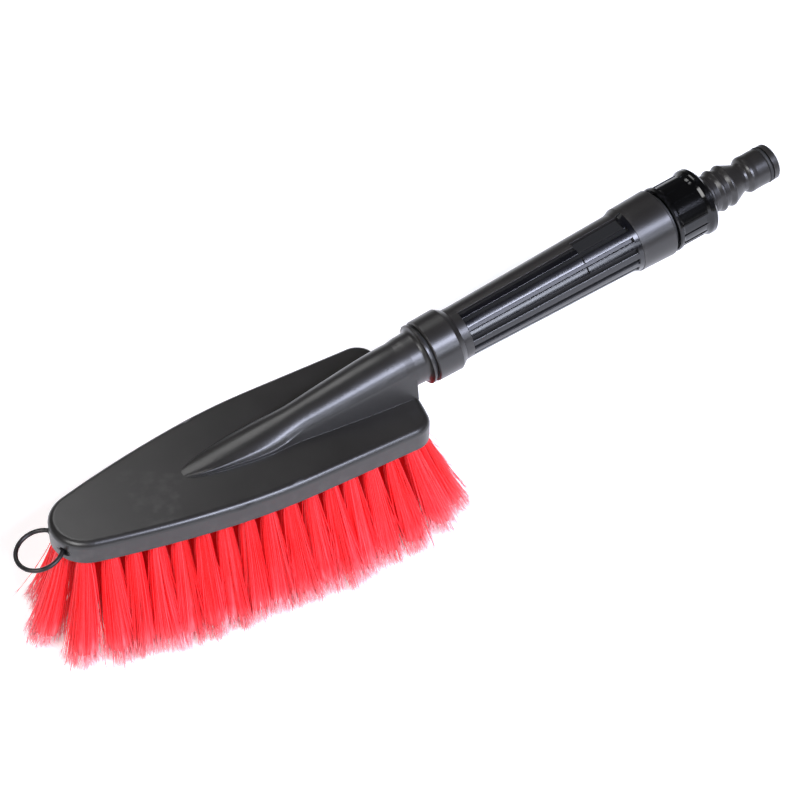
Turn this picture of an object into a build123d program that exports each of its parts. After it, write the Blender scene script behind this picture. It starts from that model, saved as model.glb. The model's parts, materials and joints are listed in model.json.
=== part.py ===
from build123d import *
import math
import os

# Hose-fed washing brush: an iron-shaped head that stands on its bristle tips, a fluted
# tapered handle that rises at a slight angle, a twist valve and a male hose connector.
# Frame: +Z up, +X from the nose towards the hose, Y = 0 is the head's centre plane, and
# the origin is the middle of the bristle tips. All sizes are in millimetres.

# ---- head ----
TIP_Z = 0.0                 # plane of the trimmed bristle tips
BRISTLE_LENGTH = 50.0       # bristle tips to the cover's lower edge
COVER_Z = TIP_Z + BRISTLE_LENGTH
COVER_HEIGHT = 10.2
COVER_TOP_Z = COVER_Z + COVER_HEIGHT
NOSE_X = -79.2
REAR_X = 79.2
# the outline's tangent arcs from the nose along one side: (radius, heading at its end)
SIDE_ARCS = [(15.2, 15.1), (449.0, 8.2), (254.0, 0.0)]
CORNER_X = 68.0             # end of the straight side
CORNER_RADIUS = 9.0
RIM_RADIUS = 2.8
SIDE_WALL = 2.4
LEDGE_WALL = 5.0            # wall above the gasket ledge
ROOF = 2.4

# ---- bristle plate ----
FIT_GAP = 0.1               # between a part and the pocket that it sits in
SEAT_GAP = 0.02             # between a seal and the groove that it sits in
PLATE_RECESS = 0.4          # the plate sits this far above the cover's lower edge
PLATE_THICKNESS = 4.5
GASKET_THICKNESS = 0.7
PLATE_Z = COVER_Z + PLATE_RECESS
PLATE_TOP_Z = PLATE_Z + PLATE_THICKNESS
LEDGE_Z = PLATE_TOP_Z + GASKET_THICKNESS
ROOF_Z = COVER_TOP_Z - ROOF
OUTLET_RADIUS = 1.2
OUTLET_PITCH = 19.0
OUTLET_ROWS = (-9.2, 9.2)

# ---- tufts ----
TUFT_ROOT_RADIUS = 2.0
TUFT_TIP_RADIUS = 4.3
TUFT_HOLE_DEPTH = 3.6
HOLE_CLEARANCE = 0.05
TUFT_PITCH = 9.0
# (inset from the cover's edge, outward lean of the tips) of each ring of tufts
OUTER_RING = (5.6, 12.0)
MIDDLE_RING = (14.4, 5.5)
INNER_X = (-50.0, 60.0)     # centre row
NOSE_ZONE = 10.0            # tufts this close to the ends count as nose and rear tufts
REAR_ZONE = 9.0
FAN = 0.03                  # tips spread along X by this share of the root's X
REAR_FAN = 6.0              # and by this much more at the rear end
REAR_HUB_X = 44.0           # behind this the tufts' lean turns to point away from here
REAR_TURN = 20.0            # length over which it turns
ANCHOR_SIZE = (3.2, 0.4, 1.5)

# ---- hanging ring ----
RING_HINGE_X = -77.8
RING_HINGE_Z = COVER_Z + 3.8
RING_HALF_CHORD = 5.9
RING_RADIUS = 9.3
RING_WIRE = 0.9
RING_GAP = 0.6              # between the wire's two ends, inside the nose
RING_DROOP = 12.0           # degrees below level
RING_RELIEF = 1.8
RING_HOLE_HALF = 5.1
RUNNING_GAP = 0.05          # radial clearance of turning and sliding fits
LUG_X = -76.2               # the nose is solid in front of this
LUG_HALF_WIDTH = 7.5

# ---- handle axis: origin at the mouth of the head's neck ----
TILT = 8.5                  # degrees above level
MOUTH_X = 85.8
MOUTH_Z = COVER_Z + 20.7
UP = (-math.sin(math.radians(TILT)), 0, math.cos(math.radians(TILT)))
ALONG = (math.cos(math.radians(TILT)), 0, math.sin(math.radians(TILT)))
HANDLE = Plane(origin=(MOUTH_X, 0, MOUTH_Z), x_dir=UP, z_dir=ALONG)

# ---- spine on the cover: (x, half width at the base, half width of the arch, crest height) ----
SPINE_BASE_Z = COVER_TOP_Z - 2.3
SPINE_FOOT_Z = COVER_TOP_Z - 0.3
SPINE = [
    (-23.5, 1.8, 1.8, -0.15),
    (-17.0, 4.7, 4.7, 1.1),
    (-8.0, 6.8, 6.8, 2.6),
    (2.0, 8.3, 8.3, 4.5),
    (14.0, 9.0, 9.0, 6.7),
    (26.0, 9.4, 8.4, 9.1),
    (38.0, 10.2, 8.9, 11.9),
    (50.0, 11.0, 9.5, 14.6),
    (60.0, 11.6, 10.0, 16.8),
    (69.0, 12.0, 10.2, 18.4),
    (78.0, 12.4, 10.4, 19.75),
]
ARCH_STEPS = 12             # spans of the arch's curve from side to side
NECK_START = (9.4, -18.0)    # (radius, station) inside the spine
NECK_ROOT = (10.75, -7.2)
NECK_LIP = 13.0
LIP_FLARE = 2.1             # radius of the hollow that leads out to the lip
LIP_WIDTH = 1.0
SOCKET_RADIUS = 7.6
SOCKET_DEPTH = 15.0
DUCT_RADIUS = 4.2
DUCT_DROP_X = (26.0, 40.0)

# ---- handle, by distance along its axis from the neck's mouth ----
WASHER_END = 1.4
WASHER_RADIUS = 11.5
FERRULE_END = 15.3
FERRULE_FRONT_RADIUS = 13.3
FERRULE_RADIUS = 13.5
FERRULE_BORE = 10.4
FERRULE_LIP_END = 3.4
GRIP_START = 19.4
GRIP_START_RADIUS = 11.2
RAMP_START = 98.3
RAMP_START_RADIUS = 13.1
SLEEVE_START = 101.5
SLEEVE_END = 118.0
SLEEVE_START_RADIUS = 14.35
SLEEVE_END_RADIUS = 14.85
SLEEVE_SEAT = 12.0
SHELL_DEPTH = 1.8           # thickness of the fluted shell
LIP_STEP = 0.15             # step from the grip's flared lip to the sleeve
TUBE_BORE = 6.5
HOUSING_BORE = 9.9
HOUSING_START = 98.0
SPIGOT_RADIUS = 7.5
SPIGOT_BORE = 5.0

# ---- fluted shell: 16 divisions, three of them left out for the smooth strip ----
DIVISIONS = 16
PITCH_ANGLE = 360.0 / DIVISIONS
STRIP_DIVISIONS = 3
STRIP_EDGE = 0.0            # degrees from the top towards -Y
PANEL_START = 76.0          # where the flat panel and the cross joint lie
PANEL_LEAD = 12.5           # the panel widens over the strip by this angle
PANEL_DEPTH = 0.6
JOINT_DEPTH = 0.7
JOINT_HALF_WIDTH = 0.35
FLUTE_DEPTH = 1.35
FLUTE_END = 99.6
# a groove's half width at heights above its floor, with rounded shoulders towards the ribs
FLUTE_PROFILE = [(0.0, 0.70), (0.95, 0.80), (1.20, 0.95), (1.30, 1.15), (1.36, 1.45), (5.0, 1.45)]
EDGE_TURN = 2.8             # the grooves along the strip lie this many degrees inside the shell

# ---- twist collar, valve and hose connector ----
GAP_END = 120.0
COLLAR_FLANGE_END = 122.2
COLLAR_FLANGE_RADIUS = 14.5
BARREL_RADIUS = 13.5
COLLAR_REAR_START = 135.4
COLLAR_REAR_RADIUS = 14.8
COLLAR_END = 139.4
COLLAR_RIBS = 16
RIB_HEIGHT = 0.35
RIB_WIDTH = 0.7
HOUSING_FLANGE_RADIUS = 12.5
HOUSING_FLANGE_END = 119.6
HOUSING_NOSE_RADIUS = 8.6
HOUSING_NOSE_END = 128.0
SPINDLE_RADIUS = 6.0
SPINDLE_BORE = 3.6
ROTOR_START = 103.2
ROTOR_FLANGE_END = 105.2
ROTOR_FLANGE_RADIUS = 7.4
SPINDLE_END = 138.6
SEAT_START = 100.4
SEAT_END = 103.0
CLIP_START = 128.4
CLIP_END = 129.4
CLIP_RADIUS = 7.6
CLIP_GROOVE_RADIUS = 5.3
CLIP_MOUTH = 50.0           # degrees left open in the clip
PORT_OFFSET = 3.7
PORT_RADIUS = 1.7
SEAL_OUTER_RADIUS = 9.4
ROTOR_ROOM = 0.3            # free space around the turning disc
SEAL_STATIONS = (109.0, 114.0)
SEAL_GROOVE_RADIUS = 4.5
SEAL_WIRE = 0.7
THREAD_START = 127.0
THREAD_RADIUS = 4.8
CONNECTOR_BORE = 3.2
CONNECTOR_RADIUS = 7.95
CONNECTOR_END = 176.6
STEM_RADIUS = 8.35
RING_PEAK = 9.3
RING_STATIONS = (142.4, 147.6, 152.6)
ORING_START = 171.2
ORING_WIDTH = 2.4
ORING_FLOOR = 6.2
ORING_WIRE = 0.95           # radius of its section


def outward(heading):
    """Unit vector to the left of a heading, in degrees from +X."""
    return Vector(-math.sin(math.radians(heading)), math.cos(math.radians(heading)))


def outline_arcs():
    """Centre, radius and headings of each arc from the nose to the rear, and the straight between."""
    point = Vector(NOSE_X, 0)
    heading = 90.0
    arcs = []
    for radius, end in SIDE_ARCS:
        centre = point - outward(heading) * radius
        arcs.append((centre, radius, heading, end))
        point = centre + outward(end) * radius
        heading = end
    corner = Vector(CORNER_X, point.Y - CORNER_RADIUS)
    # the rear arc runs through the rear point and meets the corner's arc in a tangent
    gap = REAR_X - corner.X
    rear_radius = (gap ** 2 + corner.Y ** 2 - CORNER_RADIUS ** 2) / (2 * (gap - CORNER_RADIUS))
    rear = Vector(REAR_X - rear_radius, 0)
    turn = -math.degrees(math.atan2(corner.X - rear.X, corner.Y))
    arcs.append((corner, CORNER_RADIUS, 0.0, turn))
    arcs.append((rear, rear_radius, turn, -90.0))
    return arcs


def cover_outline(inset=0.0):
    """The closed outline of the cover, seen from above, moved inwards by the inset."""
    half = []
    last = None
    for centre, radius, start, end in outline_arcs():
        points = [centre + outward(h) * (radius - inset) for h in (start, (start + end) / 2, end)]
        if last is not None and (points[0] - last).length > 0.1:
            half.append([last, points[0]])
        half.append(points)
        last = points[-1]
    other = [[Vector(p.X, -p.Y) for p in reversed(points)] for points in reversed(half)]
    return Wire([Line(*points) if len(points) == 2 else ThreePointArc(*points) for points in half + other])


def slab(wire, low, high):
    """A flat plate with the given outline between two heights."""
    face = Face(wire).moved(Location((0, 0, low)))
    return extrude(face, amount=high - low, dir=(0, 0, 1))


def lug_block(clearance):
    """The solid nose block that the hanging ring's wire runs through."""
    depth = 20.0
    width = 2 * (LUG_HALF_WIDTH + clearance)
    return Pos(LUG_X + clearance - depth / 2, 0, COVER_Z) * Box(depth, width, 4 * COVER_HEIGHT)


def turned(points):
    """A solid of revolution about the handle axis from (radius, station) points."""
    corners = [(radius, 0, station) for radius, station in points]
    profile = make_face(Polyline(corners + corners[:1]))
    return revolve(profile, axis=Axis.Z)


def on_handle(shape):
    """Moves a shape from the handle's own frame to its place."""
    return shape.moved(HANDLE.location)


def along_handle(x):
    """Station on the handle axis over a given X."""
    return (x - MOUTH_X) / ALONG[0]


def lathe_tube(stations, bore):
    """A turned tube from (station, outer radius) pairs with a plain bore."""
    outer = [(radius, station) for station, radius in stations]
    return turned([(bore, stations[0][0])] + outer + [(bore, stations[-1][0])])


def grip_radius(station):
    """Outer radius of the tapered grip."""
    share = (station - GRIP_START) / (RAMP_START - GRIP_START)
    return GRIP_START_RADIUS + share * (RAMP_START_RADIUS - GRIP_START_RADIUS)


def wedge(start, end, low, high, reach=30.0):
    """A pie slice about the handle axis from angle low to high, in degrees from the top."""
    steps = max(2, math.ceil((high - low) / 40.0) + 1)
    angles = [math.radians(low + (high - low) * i / (steps - 1)) for i in range(steps)]
    rim = [(reach * math.cos(a), reach * math.sin(a)) for a in angles]
    face = make_face(Polyline([(0, 0)] + rim + [(0, 0)]))
    return Pos(0, 0, start) * extrude(face, amount=end - start, dir=(0, 0, 1))


# ---------------------------------------------------------------- head

def spine_section(x, base, half, crest):
    """One cross-section of the spine: a round arch that runs smoothly into walls widening to the base."""
    top = COVER_TOP_Z + crest
    spring = max(top - half, SPINE_FOOT_Z)
    height = top - spring
    # the wall from the base is tangent to the arch at this turn
    across, down = base / half, (SPINE_BASE_Z - spring) / height
    first = math.atan2(down, across) + math.acos(1 / math.hypot(across, down))
    turns = [first + (math.pi - 2 * first) * i / ARCH_STEPS for i in range(ARCH_STEPS + 1)]
    arch = [Vector(x, half * math.cos(turn), spring + height * math.sin(turn)) for turn in turns]
    rise = (half * math.sin(first), height * math.cos(first))
    low = [Vector(x, base, SPINE_BASE_Z), Vector(x, -base, SPINE_BASE_Z)]
    return Face(Wire([
        Line(low[0], arch[0]),
        Spline(*arch, tangents=[(0, -rise[0], rise[1]), (0, -rise[0], -rise[1])]),
        Line(arch[-1], low[1]),
        Line(low[1], low[0]),
    ]))


def spine_body():
    """The spine that grows out of the cover's top and becomes the neck with its flared lip."""
    spine = loft([spine_section(*row) for row in SPINE])
    turns = [math.radians(15 * i) for i in range(6)]
    flare_start = -LIP_WIDTH - LIP_FLARE
    flare = [(NECK_LIP - LIP_FLARE * math.cos(a), flare_start + LIP_FLARE * math.sin(a)) for a in turns]
    neck = turned([(0, NECK_START[1]), NECK_START, NECK_ROOT] + flare
                  + [(NECK_LIP, -LIP_WIDTH), (NECK_LIP, 0), (0, 0)])
    return spine + on_handle(neck)


def head_cover():
    block = slab(cover_outline(), COVER_Z, COVER_TOP_Z)
    top = block.faces().sort_by(Axis.Z)[-1]
    block = fillet(top.edges(), RIM_RADIUS)
    body = block + spine_body()
    body -= slab(cover_outline(SIDE_WALL), COVER_Z - 1, LEDGE_Z) - lug_block(0)
    body -= slab(cover_outline(LEDGE_WALL), LEDGE_Z - 1, ROOF_Z)
    socket = turned([(0, -SOCKET_DEPTH), (SOCKET_RADIUS, -SOCKET_DEPTH), (SOCKET_RADIUS, 1), (0, 1)])
    duct_start = along_handle(DUCT_DROP_X[0])
    duct = turned([(0, duct_start), (DUCT_RADIUS, duct_start), (DUCT_RADIUS, 0), (0, 0)])
    body -= on_handle(socket) + on_handle(duct)
    drop_length = DUCT_DROP_X[1] - DUCT_DROP_X[0]
    drop_height = 6.0
    drop = Pos(sum(DUCT_DROP_X) / 2, 0, ROOF_Z + drop_height / 2 - 1) * Box(drop_length, 6.0, drop_height)
    body -= drop
    body -= ring_hole()
    return body


def ring_hole():
    """The cross hole for the ring's wire, opened out at both ends so that the ring can swing."""
    across = Rot(90, 0, 0)
    hole = across * Cylinder(RING_WIRE + RUNNING_GAP, 4 * RING_HALF_CHORD)
    relief = across * Cylinder(RING_RELIEF, 4 * RING_HALF_CHORD)
    relief -= Box(20, 2 * RING_HOLE_HALF, 20)
    return Pos(RING_HINGE_X, 0, RING_HINGE_Z) * (hole + relief)


def fan(x):
    """How far the tips stand from the root along X; they fan out towards the rear."""
    return FAN * x + REAR_FAN * max(0, x / REAR_X) ** 2


def ring_of_places(inset, lean, count_by_pitch):
    """Root and tip points of one ring of tufts at a given inset from the edge."""
    wire = cover_outline().offset_2d(-inset)
    count = 2 * round(wire.length / count_by_pitch / 2)
    nose = wire.param_at_point((NOSE_X + inset, 0, 0))
    places = []
    for i in range(count):
        share = (nose + i / count) % 1.0
        root = wire.position_at(share)
        tangent = wire.tangent_at(share)
        out = Vector(tangent.Y, -tangent.X, 0).normalized()
        if out.dot(root) < 0:
            out = out * -1
        turn = min(1, max(0, (root.X - REAR_HUB_X) / REAR_TURN))
        radial = (root - Vector(REAR_HUB_X, 0, root.Z)).normalized()
        tip = root + (out * (1 - turn) + radial * turn).normalized() * lean
        places.append(((root.X, root.Y), (tip.X + fan(root.X), tip.Y)))
    return places


def inner_places():
    """Root and tip points of the centre row, with one tuft upright on the origin."""
    first = math.ceil(INNER_X[0] / TUFT_PITCH)
    last = math.floor(INNER_X[1] / TUFT_PITCH)
    roots = [i * TUFT_PITCH for i in range(first, last + 1)]
    return [((x, 0), (x + fan(x), 0)) for x in roots]


def bristle_plate(places):
    plate = slab(cover_outline(SIDE_WALL + FIT_GAP), PLATE_Z, PLATE_TOP_Z) - lug_block(FIT_GAP)
    hole = Cylinder(TUFT_ROOT_RADIUS + HOLE_CLEARANCE, 2 * TUFT_HOLE_DEPTH)
    tools = [Pos(x, y, PLATE_Z) * hole for (x, y), _ in places]
    outlet = Cylinder(OUTLET_RADIUS, 4 * PLATE_THICKNESS)
    steps = range(-3, 4)
    tools += [Pos((i + 0.5) * OUTLET_PITCH, 0.5 * y, PLATE_Z) * outlet for i in steps for y in OUTLET_ROWS]
    return plate - tools


def plate_gasket():
    outer = slab(cover_outline(SIDE_WALL + FIT_GAP), PLATE_TOP_Z, LEDGE_Z)
    inner = slab(cover_outline(LEDGE_WALL), PLATE_TOP_Z - 1, LEDGE_Z + 1)
    return outer - inner - lug_block(FIT_GAP)


def tuft(root, tip):
    """One tuft: a round root in its hole that spreads to a round tip trimmed flat."""
    top = PLATE_Z + TUFT_HOLE_DEPTH
    sections = [
        Pos(root[0], root[1], top) * Circle(TUFT_ROOT_RADIUS),
        Pos(root[0], root[1], PLATE_Z) * Circle(TUFT_ROOT_RADIUS),
        Pos(tip[0], tip[1], TIP_Z) * Circle(TUFT_TIP_RADIUS),
    ]
    return loft(sections, ruled=True) - anchor(root)


def anchor(root):
    """The flat wire that holds a folded tuft at the bottom of its hole."""
    length, thickness, height = ANCHOR_SIZE
    low = PLATE_Z + TUFT_HOLE_DEPTH - height
    return Pos(root[0], root[1], low + height / 2) * Box(length, thickness, height)


# ---------------------------------------------------------------- hanging ring

def hang_ring():
    """A wire ring whose two ends meet inside the cross hole of the nose."""
    centre = -math.sqrt(RING_RADIUS ** 2 - RING_HALF_CHORD ** 2)
    right = (0, RING_HALF_CHORD)
    left = (0, -RING_HALF_CHORD)
    path = Wire([
        Line((0, RING_GAP / 2), right),
        ThreePointArc(right, (centre - RING_RADIUS, 0), left),
        Line(left, (0, -RING_GAP / 2)),
    ])
    section = Plane(origin=(0, RING_GAP / 2, 0), z_dir=(0, 1, 0)) * Circle(RING_WIRE)
    ring = sweep(section, path=path, transition=Transition.ROUND)
    return Pos(RING_HINGE_X, 0, RING_HINGE_Z) * Rot(0, -RING_DROOP, 0) * ring


# ---------------------------------------------------------------- handle

def neck_washer():
    ends = [(SEAT_GAP, WASHER_RADIUS), (WASHER_END - SEAT_GAP, WASHER_RADIUS)]
    return on_handle(lathe_tube(ends, SOCKET_RADIUS))


def ferrule():
    shape = turned([
        (SOCKET_RADIUS, WASHER_END), (FERRULE_FRONT_RADIUS - 0.5, WASHER_END),
        (FERRULE_FRONT_RADIUS, WASHER_END + 0.5), (FERRULE_RADIUS, 12.6), (12.9, 13.6),
        (11.7, FERRULE_END), (FERRULE_BORE, FERRULE_END), (FERRULE_BORE, FERRULE_LIP_END),
        (SOCKET_RADIUS, FERRULE_LIP_END),
    ])
    return on_handle(shape)


def shell_space(margin):
    """The space of the fluted shell in the grip, grown by a margin at its ends."""
    start = GRIP_START - margin
    end = SLEEVE_START - FIT_GAP / 2
    outside = 2 * SLEEVE_END_RADIUS
    floor = RAMP_START_RADIUS - SHELL_DEPTH
    body = turned([
        (grip_radius(start) - SHELL_DEPTH, start), (outside, start), (outside, end), (floor, end),
        (floor, RAMP_START),
    ])
    strip_end = STRIP_EDGE - STRIP_DIVISIONS * PITCH_ANGLE
    main = wedge(start - 1, end + 1, STRIP_EDGE, 360.0 + strip_end)
    panel = wedge(PANEL_START, end + 1, STRIP_EDGE - PANEL_LEAD, STRIP_EDGE + PITCH_ANGLE)
    return body & (main + panel)


def grip_envelope():
    """The outer form of the tapered grip with the ramp up to the sleeve."""
    return turned([
        (0, FERRULE_END), (GRIP_START_RADIUS + LIP_STEP, FERRULE_END), (GRIP_START_RADIUS, GRIP_START),
        (RAMP_START_RADIUS, RAMP_START), (SLEEVE_START_RADIUS - LIP_STEP, SLEEVE_START - FIT_GAP),
        (0, SLEEVE_START - FIT_GAP),
    ])


def handle_tube():
    """The moulded tube: threaded spigot, ring, smooth strip, and the seat of the end sleeve."""
    tip = 2 * FIT_GAP - SOCKET_DEPTH
    collar = FERRULE_BORE - RUNNING_GAP
    spigot = turned([
        (0, tip), (SPIGOT_RADIUS, tip), (SPIGOT_RADIUS, FERRULE_LIP_END),
        (collar, FERRULE_LIP_END + RUNNING_GAP),
        (collar, FERRULE_END), (0, FERRULE_END),
    ])
    low = SLEEVE_START - FIT_GAP
    seat = turned([(0, low), (SLEEVE_SEAT, low), (SLEEVE_SEAT, SLEEVE_END), (0, SLEEVE_END)])
    body = spigot + (grip_envelope() - shell_space(RUNNING_GAP)) + seat
    bore = turned([
        (0, -SOCKET_DEPTH - 1), (SPIGOT_BORE, -SOCKET_DEPTH - 1), (SPIGOT_BORE, FERRULE_LIP_END),
        (TUBE_BORE, GRIP_START), (TUBE_BORE, HOUSING_START), (HOUSING_BORE + RUNNING_GAP, HOUSING_START),
        (HOUSING_BORE + RUNNING_GAP, SLEEVE_END + 1), (0, SLEEVE_END + 1),
    ])
    return on_handle(body - bore)


def taper_cutter(start, end, depth, profile):
    """A bar that cuts a groove of one depth all along the taper; the profile is (height, half width)."""
    floor = grip_radius(start) - depth
    side = [(floor + height, half) for height, half in profile]
    other = [(x, -y) for x, y in reversed(side)]
    face = make_face(Polyline(side + other + side[:1])).moved(Location((0, 0, start)))
    along = Vector(grip_radius(end) - grip_radius(start), 0, end - start)
    return extrude(face, amount=along.length, dir=along)


def flute_tools():
    """Cutters for the grooves between the ribs and along both edges of the strip."""
    flute = taper_cutter(GRIP_START, FLUTE_END, FLUTE_DEPTH, FLUTE_PROFILE)
    last = DIVISIONS - STRIP_DIVISIONS
    angles = [STRIP_EDGE + i * PITCH_ANGLE for i in range(1, last)]
    angles.append(STRIP_EDGE + last * PITCH_ANGLE - EDGE_TURN)
    lead = taper_cutter(PANEL_START, FLUTE_END, FLUTE_DEPTH, FLUTE_PROFILE)
    edge = taper_cutter(GRIP_START, PANEL_START, FLUTE_DEPTH, FLUTE_PROFILE)
    tools = [Rot(0, 0, angle) * flute for angle in angles]
    tools.append(Rot(0, 0, STRIP_EDGE + EDGE_TURN) * edge)
    tools.append(Rot(0, 0, STRIP_EDGE - PANEL_LEAD + EDGE_TURN) * lead)
    return tools


def panel_tool():
    """The cutter that flattens the panel between the strip and the first full groove."""
    span = PITCH_ANGLE + PANEL_LEAD
    half = RAMP_START_RADIUS * math.sin(math.radians(span / 2))
    flat = taper_cutter(PANEL_START, RAMP_START, PANEL_DEPTH, [(0, half), (PANEL_DEPTH + 1, half)])
    return Rot(0, 0, STRIP_EDGE - PANEL_LEAD + span / 2) * flat


def joint_tool():
    """The cutter for the cross joint over the two ribs beside the panel."""
    low = PANEL_START - JOINT_HALF_WIDTH
    high = PANEL_START + JOINT_HALF_WIDTH
    floor = grip_radius(PANEL_START) - JOINT_DEPTH
    ring = turned([(floor, low), (SLEEVE_END_RADIUS, low), (SLEEVE_END_RADIUS, high), (floor, high)])
    return ring & wedge(low - 1, high + 1, PITCH_ANGLE, 3 * PITCH_ANGLE)


def grip_shell():
    """The fluted shell that wraps the tube everywhere except under the smooth strip."""
    envelope = turned([
        (0, GRIP_START), (GRIP_START_RADIUS, GRIP_START), (RAMP_START_RADIUS, RAMP_START),
        (SLEEVE_START_RADIUS - LIP_STEP, SLEEVE_START - FIT_GAP), (0, SLEEVE_START - FIT_GAP),
    ])
    shell = envelope & shell_space(0)
    shell -= flute_tools()
    shell -= [panel_tool(), joint_tool()]
    return on_handle(shell)


def end_sleeve():
    shape = turned([
        (SLEEVE_SEAT + RUNNING_GAP, SLEEVE_START), (SLEEVE_START_RADIUS, SLEEVE_START),
        (SLEEVE_END_RADIUS, SLEEVE_END - 0.4), (SLEEVE_END_RADIUS - 0.4, SLEEVE_END),
        (SLEEVE_SEAT + RUNNING_GAP, SLEEVE_END),
    ])
    return on_handle(shape)


# ---------------------------------------------------------------- valve

def valve_housing():
    """The fixed core of the valve: a plug in the tube, a flange, and the collar's bearing."""
    bore = SPINDLE_RADIUS + RUNNING_GAP
    room = ROTOR_FLANGE_RADIUS + ROTOR_ROOM
    front = SEAT_START - 2 * ROTOR_ROOM
    step = SLEEVE_END + RUNNING_GAP
    shape = turned([
        (room, front), (HOUSING_BORE, front), (HOUSING_BORE, step), (HOUSING_FLANGE_RADIUS, step),
        (HOUSING_FLANGE_RADIUS, HOUSING_FLANGE_END), (HOUSING_NOSE_RADIUS, HOUSING_FLANGE_END),
        (HOUSING_NOSE_RADIUS, HOUSING_NOSE_END), (bore, HOUSING_NOSE_END),
        (bore, ROTOR_FLANGE_END + ROTOR_ROOM),
        (room, ROTOR_FLANGE_END + ROTOR_ROOM),
    ])
    return on_handle(shape)


def port_pair(start, end):
    """Two opposite ports that line up between the fixed and the turning disc."""
    port = Pos(PORT_OFFSET, 0, (start + end) / 2) * Cylinder(PORT_RADIUS, end - start + 2)
    return port + Rot(0, 0, 180) * port


def valve_seat():
    """The fixed disc with two ports."""
    radius = ROTOR_FLANGE_RADIUS + ROTOR_ROOM - RUNNING_GAP
    disc = turned([(0, SEAT_START), (radius, SEAT_START), (radius, SEAT_END), (0, SEAT_END)])
    return on_handle(disc - port_pair(SEAT_START, SEAT_END))


def seat_seal():
    """The ring between the fixed disc and the shoulder of the tube."""
    start = HOUSING_START + 2 * FIT_GAP
    end = SEAT_START - 2 * ROTOR_ROOM - FIT_GAP
    return on_handle(lathe_tube([(start, SEAL_OUTER_RADIUS), (end, SEAL_OUTER_RADIUS)], ROTOR_FLANGE_RADIUS))


def valve_spindle():
    """The turning disc with its hollow spindle, two seal grooves, a clip groove and a thread."""
    profile = [(0, ROTOR_START), (ROTOR_FLANGE_RADIUS, ROTOR_START), (ROTOR_FLANGE_RADIUS, ROTOR_FLANGE_END),
               (SPINDLE_RADIUS, ROTOR_FLANGE_END)]
    half = SEAL_WIRE + RUNNING_GAP
    for station in SEAL_STATIONS:
        profile += [(SPINDLE_RADIUS, station - half), (SEAL_GROOVE_RADIUS, station - half),
                    (SEAL_GROOVE_RADIUS, station + half), (SPINDLE_RADIUS, station + half)]
    low = CLIP_START - SEAT_GAP
    high = CLIP_END + SEAT_GAP
    profile += [(SPINDLE_RADIUS, low), (CLIP_GROOVE_RADIUS, low), (CLIP_GROOVE_RADIUS, high),
                (SPINDLE_RADIUS, high),
                (SPINDLE_RADIUS, SPINDLE_END), (0, SPINDLE_END)]
    inlet = ROTOR_FLANGE_END - 1.0
    bore = turned([(0, inlet), (SPINDLE_BORE, inlet), (SPINDLE_BORE, THREAD_START),
                   (THREAD_RADIUS, THREAD_START),
                   (THREAD_RADIUS, SPINDLE_END + 1), (0, SPINDLE_END + 1)])
    closed = Rot(0, 0, 90) * port_pair(ROTOR_START, inlet)
    return on_handle(turned(profile) - bore - closed)


def spindle_seals():
    """Two O-rings in the spindle's grooves."""
    major = SEAL_GROOVE_RADIUS + SEAL_WIRE + SEAT_GAP
    rings = [Pos(0, 0, station) * Torus(major, SEAL_WIRE) for station in SEAL_STATIONS]
    return on_handle(Compound(rings))


def spindle_clip():
    """The open clip that keeps the spindle in the housing."""
    clip = lathe_tube([(CLIP_START, CLIP_RADIUS), (CLIP_END, CLIP_RADIUS)], CLIP_GROOVE_RADIUS + SEAT_GAP)
    mouth = wedge(CLIP_START - 1, CLIP_END + 1, -CLIP_MOUTH / 2, CLIP_MOUTH / 2)
    return on_handle(clip - mouth)


def twist_collar():
    """The spool-shaped collar that turns the spindle."""
    bearing = HOUSING_NOSE_RADIUS + RUNNING_GAP
    bearing_end = CLIP_END + 0.5
    body = turned([
        (bearing, GAP_END), (COLLAR_FLANGE_RADIUS - 0.5, GAP_END), (COLLAR_FLANGE_RADIUS, GAP_END + 0.5),
        (COLLAR_FLANGE_RADIUS, COLLAR_FLANGE_END - 0.6), (BARREL_RADIUS + 0.2, COLLAR_FLANGE_END),
        (BARREL_RADIUS, COLLAR_FLANGE_END + 0.6), (BARREL_RADIUS, COLLAR_REAR_START - 1.6),
        (BARREL_RADIUS + 0.35, COLLAR_REAR_START - 0.5), (COLLAR_REAR_RADIUS - 0.2, COLLAR_REAR_START + 0.6),
        (COLLAR_REAR_RADIUS, COLLAR_REAR_START + 1.2), (COLLAR_REAR_RADIUS, COLLAR_END - 1.0),
        (COLLAR_REAR_RADIUS - 1.0, COLLAR_END), (SPINDLE_RADIUS + 0.02, COLLAR_END),
        (SPINDLE_RADIUS + 0.02, bearing_end), (bearing, bearing_end),
    ])
    length = COLLAR_REAR_START - COLLAR_FLANGE_END
    reach = BARREL_RADIUS + RIB_HEIGHT
    rib = Pos(reach - 1.0, 0, COLLAR_FLANGE_END + length / 2) * Box(2.0, RIB_WIDTH, length)
    ribs = [Rot(0, 0, i * 360.0 / COLLAR_RIBS) * rib for i in range(COLLAR_RIBS)]
    return on_handle(body + ribs)


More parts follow.
